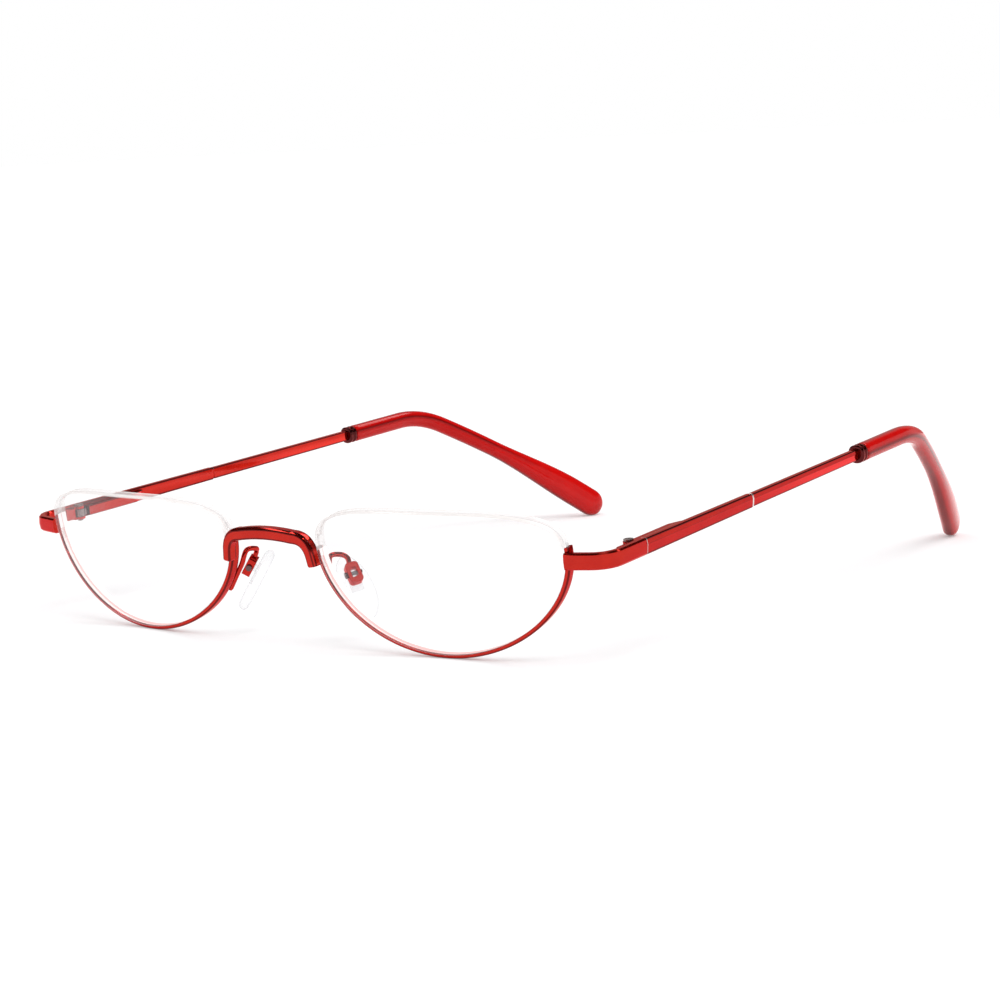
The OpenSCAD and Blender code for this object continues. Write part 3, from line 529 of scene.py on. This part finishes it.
def eased(node, name, body, finishes, width, segments=3, sharp=32):
    """A solid's mesh, copied and merged, with its hard edges rounded by width millimetres in the last of its
    finishes."""
    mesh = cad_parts[node].data.copy()
    work = bmesh.new()
    work.from_mesh(mesh)
    bmesh.ops.remove_doubles(work, verts=work.verts, dist=1e-7)
    bmesh.ops.dissolve_limit(work, angle_limit=np.radians(1.0), verts=work.verts, edges=work.edges)
    for face in work.faces:
        face.smooth = True
    work.to_mesh(mesh)
    work.free()
    mesh.materials.clear()
    for finish in finishes:
        mesh.materials.append(finish)
    mesh.set_sharp_from_angle(angle=np.radians(sharp))
    piece = bpy.data.objects.new(name, mesh)
    bpy.context.scene.collection.objects.link(piece)
    edge = piece.modifiers.new("eased", "BEVEL")
    edge.material = len(finishes) - 1
    edge.width, edge.segments = width * 0.001, segments
    edge.limit_method, edge.angle_limit = "ANGLE", np.radians(sharp)
    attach(piece, body)
    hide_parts(node)
    return piece


for side in ("left", "right"):
    eased(f"endpiece_{side}", f"endpiece_bar_{side}", "front", [red_lacquer], width=0.38,
          segments=6)


# Nose pad arms and boxes
# Round wire, lacquered red, is soldered behind each rim and looped up and over to a small box. The box has a
# window for the pad's stem, and a steel screw across it.
wire_r, pad_drop, pad_back, pad_aside = 0.45, 6.3, 4.4, 0.4
pad_lean, pad_splay, pad_twist = np.radians([34, 30, 8])
pad_rim = edge_point(inner_angle(pad_drop), rim_t / 2, -half_depth)
box_middle = pad_rim + [pad_aside, pad_back, 0]


def from_pad(points):
    """From the pad's own frame to the front's: lean about x, twist about y, splay about z, and a move to the
    box."""
    x, y, z = np.moveaxis(np.asarray(points, float), -1, 0)
    a, b, c = -pad_lean, -pad_twist, np.pi / 2 - pad_splay
    y, z = y * np.cos(a) - z * np.sin(a), y * np.sin(a) + z * np.cos(a)
    x, z = x * np.cos(b) + z * np.sin(b), z * np.cos(b) - x * np.sin(b)
    x, y = x * np.cos(c) - y * np.sin(c), x * np.sin(c) + y * np.cos(c)
    return box_middle + np.stack([x, y, z], -1)


box_h = 3.8
arm_n, arm_w = wire_r + 10 * gap, -half_depth - 3 * gap - wire_r
arm_foot = edge_point(inner_angle(pad_drop + 3.4), arm_n, arm_w)
arm_rise = edge_point(inner_angle(pad_drop + 0.4), arm_n, arm_w)
arm_clear = edge_point(inner_angle(pad_drop - 1.4), arm_n + 0.3, arm_w - 0.1)
box_top, arm_top = from_pad([0, 0, box_h / 2 + 5 * gap]), from_pad([0, -0.2, box_h / 2 + 1.1])
arm_swing, arm_fall = arm_clear + [-0.6, 0.9, 2.2], arm_top + [-0.7, -0.8, 0.7]
knots = np.array([arm_foot - (arm_rise - arm_foot) * 0.5, arm_foot, arm_rise, arm_clear, arm_swing, arm_fall,
                  arm_top, box_top, box_top + (box_top - arm_top)])
# The wire's line is a cubic between each two knots, with half the step between their neighbours as its slope
t = np.linspace(0, 1, 11)[None, :-1, None]
k0, k1, k2, k3 = (knots[i:len(knots) - 3 + i, None] for i in range(4))
curve = 0.5 * (2 * k1 + (k2 - k0) * t + (2 * k0 - 5 * k1 + 4 * k2 - k3) * t ** 2
               + (3 * k1 - k0 - 3 * k2 + k3) * t ** 3)
arm_path = np.concatenate([curve.reshape(-1, 3), [box_top]])
_, across_arm, over_arm = path_frame(arm_path, [0.3, -0.6, 0.1])
arm_r = wire_r * np.concatenate([[0.7, 0.93], np.ones(len(arm_path) - 2)])
arm_grid = (arm_path[:, None] + (arm_r[:, None] * np.cos(turn))[..., None] * across_arm[:, None]
            + (arm_r[:, None] * np.sin(turn))[..., None] * over_arm[:, None])


def bright_steel(name, tone, roughness):
    """Machined steel: fine turned streaks in its tone and gloss."""
    recipe = Recipe(bpy.data.materials.new(name))
    streaks = recipe.noise(0.0001, 3.0, (1, 1, 6))
    colour = recipe.mix(streaks, tuple(0.82 * c for c in tone), tone)
    bump = recipe.node("ShaderNodeBump", {}, {"Strength": 0.08, "Distance": 0.00002, "Height": streaks})
    shader = recipe.node("ShaderNodeBsdfPrincipled", {}, {
        "Base Color": colour, "Metallic": 1.0, "Roughness": streaks * 0.15 + roughness,
        "Normal": bump.outputs[0]})
    return recipe.end("ShaderNodeOutputMaterial", shader.outputs[0])


steel = bright_steel("bright_steel", (0.30, 0.23, 0.22), roughness=0.18)
# A darker copy of the steel: painted shade on the pad screws, which sit inside the boxes' windows.
steel_in_painted_shade = bright_steel("steel_in_painted_shade", (0.17, 0.10, 0.10), roughness=0.24)
# The boxes' rounded edges take the darker lacquer: painted shade.
for side in ("left", "right"):
    skin(f"pad_wire_{side}", stood(arm_grid, side), "front", [red_lacquer], [f"pad_arm_{side}"])
    eased(f"pad_box_{side}", f"pad_cup_{side}", "front", [red_lacquer, shaded_edge_lacquer], width=0.2)
    eased(f"pad_screw_{side}", f"pad_cross_screw_{side}", "front", [steel_in_painted_shade], width=0.05)


# Nose pads
# Soft clear silicone, moulded round a small plate of harder clear plastic. The plate's stem goes through the
# box's window and rocks on the cross screw.
pad_len, pad_w, pad_t, pad_off, box_d, pad_gap, pad_egg = 12.6, 6.2, 1.9, -1.9, 1.5, 0.5, 0.12
pad_mid = box_d / 2 + pad_gap + pad_t / 2
around = np.linspace(0, 2 * np.pi, 49)[:-1]


def pad_ring(k, y):
    """Oval a little wider at one end, k times the pad's outline, y times its thickness from its middle."""
    k, y = np.asarray(k)[:, None], np.asarray(y)[:, None]
    return np.stack([pad_w / 2 * k * np.cos(around) * (1 - pad_egg * np.sin(around)),
                     pad_mid + y * pad_t + 0 * around * k,
                     pad_off + pad_len / 2 * k * np.sin(around)], -1)


# The rings go from the middle of the side by the box, round the edge, to the middle of the side on the nose
bulge = np.linspace(0, 1, 14)
face_k = np.concatenate([[0.03, 0.3, 0.55, 0.76], 0.8 + 0.2 * np.sin(bulge * np.pi / 2),
                         1 - 0.28 * bulge[1:] ** 2, [0.62, 0.45, 0.25, 0.03]])
face_y = np.concatenate([[-0.5, -0.5, -0.5, -0.5], -0.5 + 0.5 * bulge ** 1.6,
                         0.5 * np.sin(bulge[1:] * np.pi / 2) ** 0.8, [0.5, 0.5, 0.5, 0.5]])
pad_grid = from_pad(pad_ring(face_k, face_y))
silicone = clear("clear_silicone", (0.72, 0.73, 0.76), body=0.05, edge=0.6, roughness=0.08)
plate_plastic = clear("pad_plate_plastic", (0.86, 0.85, 0.87), body=0.12, edge=0.3, roughness=0.1)
for side in ("left", "right"):
    skin(f"soft_pad_{side}", stood(pad_grid, side), f"pad_{side}", [silicone],
         [f"nose_pad_{side}"])
    eased(f"pad_core_{side}", f"pad_plate_{side}", f"pad_{side}", [plate_plastic], width=0.06)


# Hinges
# A lacquered fork of two barrels is soldered inside each endpiece. The steel slider's eye turns between them
# on a steel screw, and the slider's rod ends in a stop that holds the spring.
# The forks' rounded edges take the darker lacquer: painted shade.
for side in ("left", "right"):
    eased(f"hinge_fork_{side}", f"fork_{side}", "front", [red_lacquer, shaded_edge_lacquer], width=0.06)
    eased(f"hinge_screw_{side}", f"pivot_screw_{side}", "front", [steel], width=0.05)
    eased(f"hinge_slider_{side}", f"slider_{side}_eye", f"slider_{side}", [steel], width=0.06)
    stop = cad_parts[f"spring_stop_{side}"].data
    stop.materials.clear()
    stop.materials.append(steel)


# Temples
# Flat bars of red lacquered metal, with a ridge along the outer face and a groove cut bare round them. A
# thinned core runs on inside the tip, and a hollow housing for the hinge's spring is soldered to the inner
# face.
temple_len, temple_h, mid_h, wire_h, temple_t, wire_t = 147.0, 2.75, 2.4, 2.05, 1.3, 1.2
groove_s, groove_w, groove_in = 34.4, 0.5, 0.14
collar_s, collar_len, bend_s, bend_r = 72.8, 2.0, 89.0, 20.8
toe, bend_a, tip_a, bend_roll = np.radians([3.2, 33.4, 10.6, 25.6])
butt, core_h, core_t, end_thinning = 0.12, 1.5, 0.9, 0.1
frame_w, hinge_back = 134.0, 18.4
seam = np.array([frame_w / 2, hinge_back, 0])
bend_side = np.array([-np.sin(bend_roll), 0, -np.cos(bend_roll)])
bend_out = np.array([np.cos(bend_roll), 0, -np.sin(bend_roll)])
bend_end = bend_s + bend_r * bend_a
slow_r = (temple_len - bend_end) / tip_a
core_end = bend_end + 14
bar_stop, core_start = collar_s + 0.66, collar_s + 0.97
crest, crest_w, crest_h, core_crest, flat_steps = 0.14, 0.3, 0.1, 0.3, 6


def at_seam(points):
    """From the temple's own frame to the front's: toe in about the upright, then move to the hinge seam."""
    x, y, z = np.moveaxis(points, -1, 0)
    return seam + np.stack([x * np.cos(toe) - y * np.sin(toe), x * np.sin(toe) + y * np.cos(toe), z], -1)


def temple_point(s, x, z):
    """Point of the section at length s along the temple's line: straight, then an arc behind the ear, then a
    slow arc to the end."""
    s, x, z = np.broadcast_arrays(s, x, z)
    a = np.clip((s - bend_s) / bend_r, 0, bend_a) + np.maximum(0, s - bend_end) / slow_r
    first = np.minimum(a, bend_a)
    ahead = np.minimum(s, bend_s) + bend_r * np.sin(first) + slow_r * (np.sin(a) - np.sin(first))
    aside = bend_r * (1 - np.cos(first)) + slow_r * (np.cos(first) - np.cos(a))
    line = np.stack([0 * s - temple_t / 2, ahead, 0 * s], -1) + aside[..., None] * bend_side
    b = -np.sin(a)[..., None] * np.array([0, 1, 0]) + np.cos(a)[..., None] * bend_side
    return (line + x[..., None] * (-np.sin(bend_roll) * b + np.cos(bend_roll) * bend_out)
            + z[..., None] * (-np.cos(bend_roll) * b - np.sin(bend_roll) * bend_out))


bare_metal = bright_steel("bare_groove", (0.86, 0.80, 0.78), roughness=0.12)
flat_profile = rounded([(0.5, crest), (0.42, 0.5), (-0.5, 0.5), (-0.5, -0.5), (0.42, -0.5)],
                       [0.06, 0.11, 0.13, 0.13, 0.11], flat_steps)
ridge = crest_h * np.exp(-((flat_profile[:, 1] - crest) / crest_w) ** 2) * (flat_profile[:, 0] > 0.3)
s_bar = np.concatenate([[butt, butt + 0.06, butt + 0.16], np.linspace(1, groove_s - groove_w / 2, 24),
                        [groove_s - groove_w / 4, groove_s + groove_w / 4],
                        np.linspace(groove_s + groove_w / 2, bar_stop, 24)])
s_core = np.concatenate([[core_start], np.linspace(collar_s + 4, core_end, 40)])
step_down = 0.15
rear_h = mid_h - step_down
h_bar = np.where(s_bar < groove_s, temple_h + (mid_h - temple_h) * s_bar / groove_s,
                 rear_h + (wire_h - rear_h) * (s_bar - groove_s) / (collar_s - groove_s))
t_bar = np.where(s_bar < groove_s, temple_t, wire_t)
in_groove = abs(s_bar - groove_s) < groove_w / 2 - 0.01
thinner = 2 * groove_in * in_groove + end_thinning * (s_bar == butt)
s_all = np.concatenate([s_bar, s_core])
h_all = np.concatenate([h_bar - thinner, 0 * s_core + core_h])
t_all = np.concatenate([t_bar - thinner, 0 * s_core + core_t])
ridge_all = np.concatenate([0 * s_bar + 1, 0 * s_core + core_crest])
temple_x = t_all[:, None] * flat_profile[:, 0] + ridge_all[:, None] * ridge
temple_z = h_all[:, None] * flat_profile[:, 1]
temple_grid = at_seam(temple_point(s_all[:, None], temple_x, temple_z))
# The groove and a narrow line by the seam are bare, except on the inner face. Elsewhere a darker lacquer is
# painted shade and dark reflection on the ridge's line and on the other corners.
bare_rings = np.isin(np.arange(len(s_all)), np.append(1, np.flatnonzero(in_groove)))[:, None]
strip_number = np.arange(len(flat_profile))
crest_line, other_corners = strip_number == 2, strip_number >= flat_steps
shaded = edges_of(flat_profile, flat_steps) * (other_corners | crest_line)
temple_finish = np.where(bare_rings & (flat_profile[:, 0] > -0.3), 2, shaded)
# The spring housings' rounded edges take the darker lacquer too: painted shade.
for side in ("left", "right"):
    skin(f"temple_bar_{side}", stood(temple_grid, side), f"temple_{side}",
         [red_lacquer, shaded_edge_lacquer, bare_metal], [f"temple_{side}"], which=temple_finish, sharp=26)
    eased(f"spring_housing_{side}", f"housing_{side}", f"temple_{side}",
          [red_lacquer, shaded_edge_lacquer], width=0.15)


# Hinge springs
# A coil of steel wire lies round each slider's rod inside the housing, between the housing's shoulder and the
# rod's stop. The real spring shortens as the temple springs outwards; this coil keeps its length and moves
# with the slider.
coil_x, coil_turns, coil_r, coil_wire, coil_space, travel = -2.45, 9, 0.5, 0.11, 0.3, 1.2
shoulder_back = 4.2
coil_from = shoulder_back + coil_wire + gap
coil_to = shoulder_back + travel + coil_turns * (2 * coil_wire + coil_space) - coil_wire - gap
angle = np.linspace(0, 2 * np.pi * coil_turns, coil_turns * 24 + 1)
coil_path = np.stack([coil_x + coil_r * np.cos(angle), np.linspace(coil_from, coil_to, len(angle)),
                      coil_r * np.sin(angle)], -1)
_, coil_a, coil_b = path_frame(coil_path, [0, 1, 0])
round_wire = np.linspace(0, 2 * np.pi, 11)[:-1]
coil_grid = at_seam(coil_path[:, None] + coil_wire * (np.cos(round_wire)[:, None] * coil_a[:, None]
                                                      + np.sin(round_wire)[:, None] * coil_b[:, None]))
for side in ("left", "right"):
    coil = skin(f"spring_coil_{side}", stood(coil_grid, side), f"slider_{side}", [steel],
                [f"hinge_spring_{side}"])
    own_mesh(coil)


# Tips and collars
# Sleeves of clear red plastic, pushed over the cores and bent with them behind the ear, swell to a rounded
# paddle. A turned metal collar with dark red lacquer closes the front of each.
tip_t, tip_h, paddle_w, paddle_t, end_round = 3.2, 3.4, 5.9, 3.7, 3.4
tip_start = collar_s + collar_len + gap
paddle_from, paddle_to = temple_len - 32, temple_len - 8
circle = np.linspace(0, 2 * np.pi, 41)[:-1]


def signed_power(v, e):
    """The power e of a value's size, with the value's sign."""
    return np.sign(v) * abs(v) ** e


def oval(s, w, h, e=0.85):
    """Squared oval round the temple's line at length s: half of w times cos to the power e across, and half
    of h times sin to it up."""
    s, w, h = (np.asarray(v, float)[:, None] for v in (s, w, h))
    return temple_point(s, w / 2 * signed_power(np.cos(circle), e), h / 2 * signed_power(np.sin(circle), e))


def painted_dark_line(place, width):
    """Bell curve over the height in the section, one at a place between -1, its foot, and 1, its top."""
    return np.exp(-((np.sin(circle) - place) / width) ** 2)[None, :]


end_turn = np.linspace(0.06, np.pi / 2, 16)[:-1]
s_out = np.concatenate([[tip_start, tip_start + 0.12, tip_start + 0.35],
                        np.linspace(tip_start + 1, temple_len - end_round, 90),
                        temple_len - end_round * np.cos(end_turn), [temple_len - 0.005]])
swell = np.clip((s_out - paddle_from) / (paddle_to - paddle_from), 0, 1)
swell = swell * swell * (3 - 2 * swell)
blunt = np.sqrt(np.clip(1 - np.clip((s_out - temple_len + end_round) / end_round, 0, 1) ** 2, 0.0004, 1))
lead = np.where(s_out < tip_start + 0.06, 0.86, np.where(s_out < tip_start + 0.2, 0.97, 1.0))
outside = oval(s_out, (tip_t + (paddle_t - tip_t) * swell) * blunt * lead,
               (tip_h + (paddle_w - tip_h) * swell) * blunt * lead)
s_in = np.linspace(core_end + 0.5, tip_start, 46)
bore_w, bore_h, bore_power = core_t + 0.24, core_h + 0.1, 0.35
inside = oval(s_in, 0 * s_in + bore_w, 0 * s_in + bore_h, bore_power)
tip_grid = at_seam(np.concatenate([inside, outside]))

# Painted dark lines on the sleeve: a streak, partly the core seen through and partly painted shade, lower on
# the outer face and higher on the inner, fading behind the core's end; and painted shade along the top edge
# and, past the bend, along the foot.
outer_core, inner_core, fade_end, fade_len = -0.1, 0.3, core_end + 16, 18
core_fade = np.clip((fade_end - s_out) / fade_len, 0, 1)[:, None]
foot_fade = np.clip((s_out - bend_s - 6) / 20, 0, 1)[:, None]
painted_core_streak = painted_dark_line(np.where(np.cos(circle) > 0, outer_core, inner_core), 0.16) * core_fade
painted_edge_shade = 0.45 * painted_dark_line(1, 0.06) + 0.8 * painted_dark_line(-1, 0.10) * foot_fade
tip_painted_dark_lines = np.concatenate([np.zeros((len(s_in), len(circle))), np.maximum(painted_core_streak, painted_edge_shade)])

# The collar's rings: the two ends of its bore, then its outside, by share of length and width over the tip's
collar_shape = np.array([(0, -0.4), (0.05, -0.12), (0.1, -0.02), (0.2, 0), (0.32, -0.02), (0.38, -0.14),
                         (0.44, -0.35), (0.56, -0.35), (0.62, -0.14), (0.68, -0.02), (0.8, 0), (0.9, -0.02),
                         (0.95, -0.12), (1, -0.4)])
collar_at = np.append([1, 0], collar_shape[:, 0])
collar_w = np.append([wire_t + 0.26] * 2, tip_t + collar_shape[:, 1])
collar_h = np.append([wire_h + 0.2] * 2, tip_h + collar_shape[:, 1])
collar_grid = at_seam(oval(collar_s + collar_at * (collar_len - gap), collar_w, collar_h))


def red_plastic_finish():
    """Clear red plastic: light passes through it, cloudy from moulding, with a painted dark streak where the
    core shows and painted shade along its top and foot edges.
    """
    recipe = Recipe(bpy.data.materials.new("clear_red_plastic"))
    cloud = recipe.noise(0.003, 3.0)
    core = recipe.number("ShaderNodeAttribute", {"attribute_name": "core"}, output=2)
    clear_red = recipe.mix(cloud, (0.61, 0.002, 0.002), (0.77, 0.008, 0.006))
    colour = recipe.mix(core * 0.8, clear_red, (0.06, 0.001, 0.002))
    shader = recipe.node("ShaderNodeBsdfPrincipled", {}, {
        "Base Color": colour, "Roughness": cloud * 0.06 + 0.04, "IOR": 1.49, "Specular IOR Level": 0.08,
        "Transmission Weight": 0.22})
    return recipe.end("ShaderNodeOutputMaterial", shader.outputs[0])


red_plastic = red_plastic_finish()
dark_lacquer = lacquer("dark_red_lacquer", (0.05, 0.002, 0.003), (0.12, 0.006, 0.006))
for side in ("left", "right"):
    skin(f"tip_sleeve_{side}", stood(tip_grid, side), f"temple_{side}", [red_plastic],
         [f"temple_tip_{side}"], painted_dark_lines=tip_painted_dark_lines)
    skin(f"collar_ring_{side}", stood(collar_grid, side), f"temple_{side}", [dark_lacquer],
         [f"tip_collar_{side}"], ends=False, sharp=50)
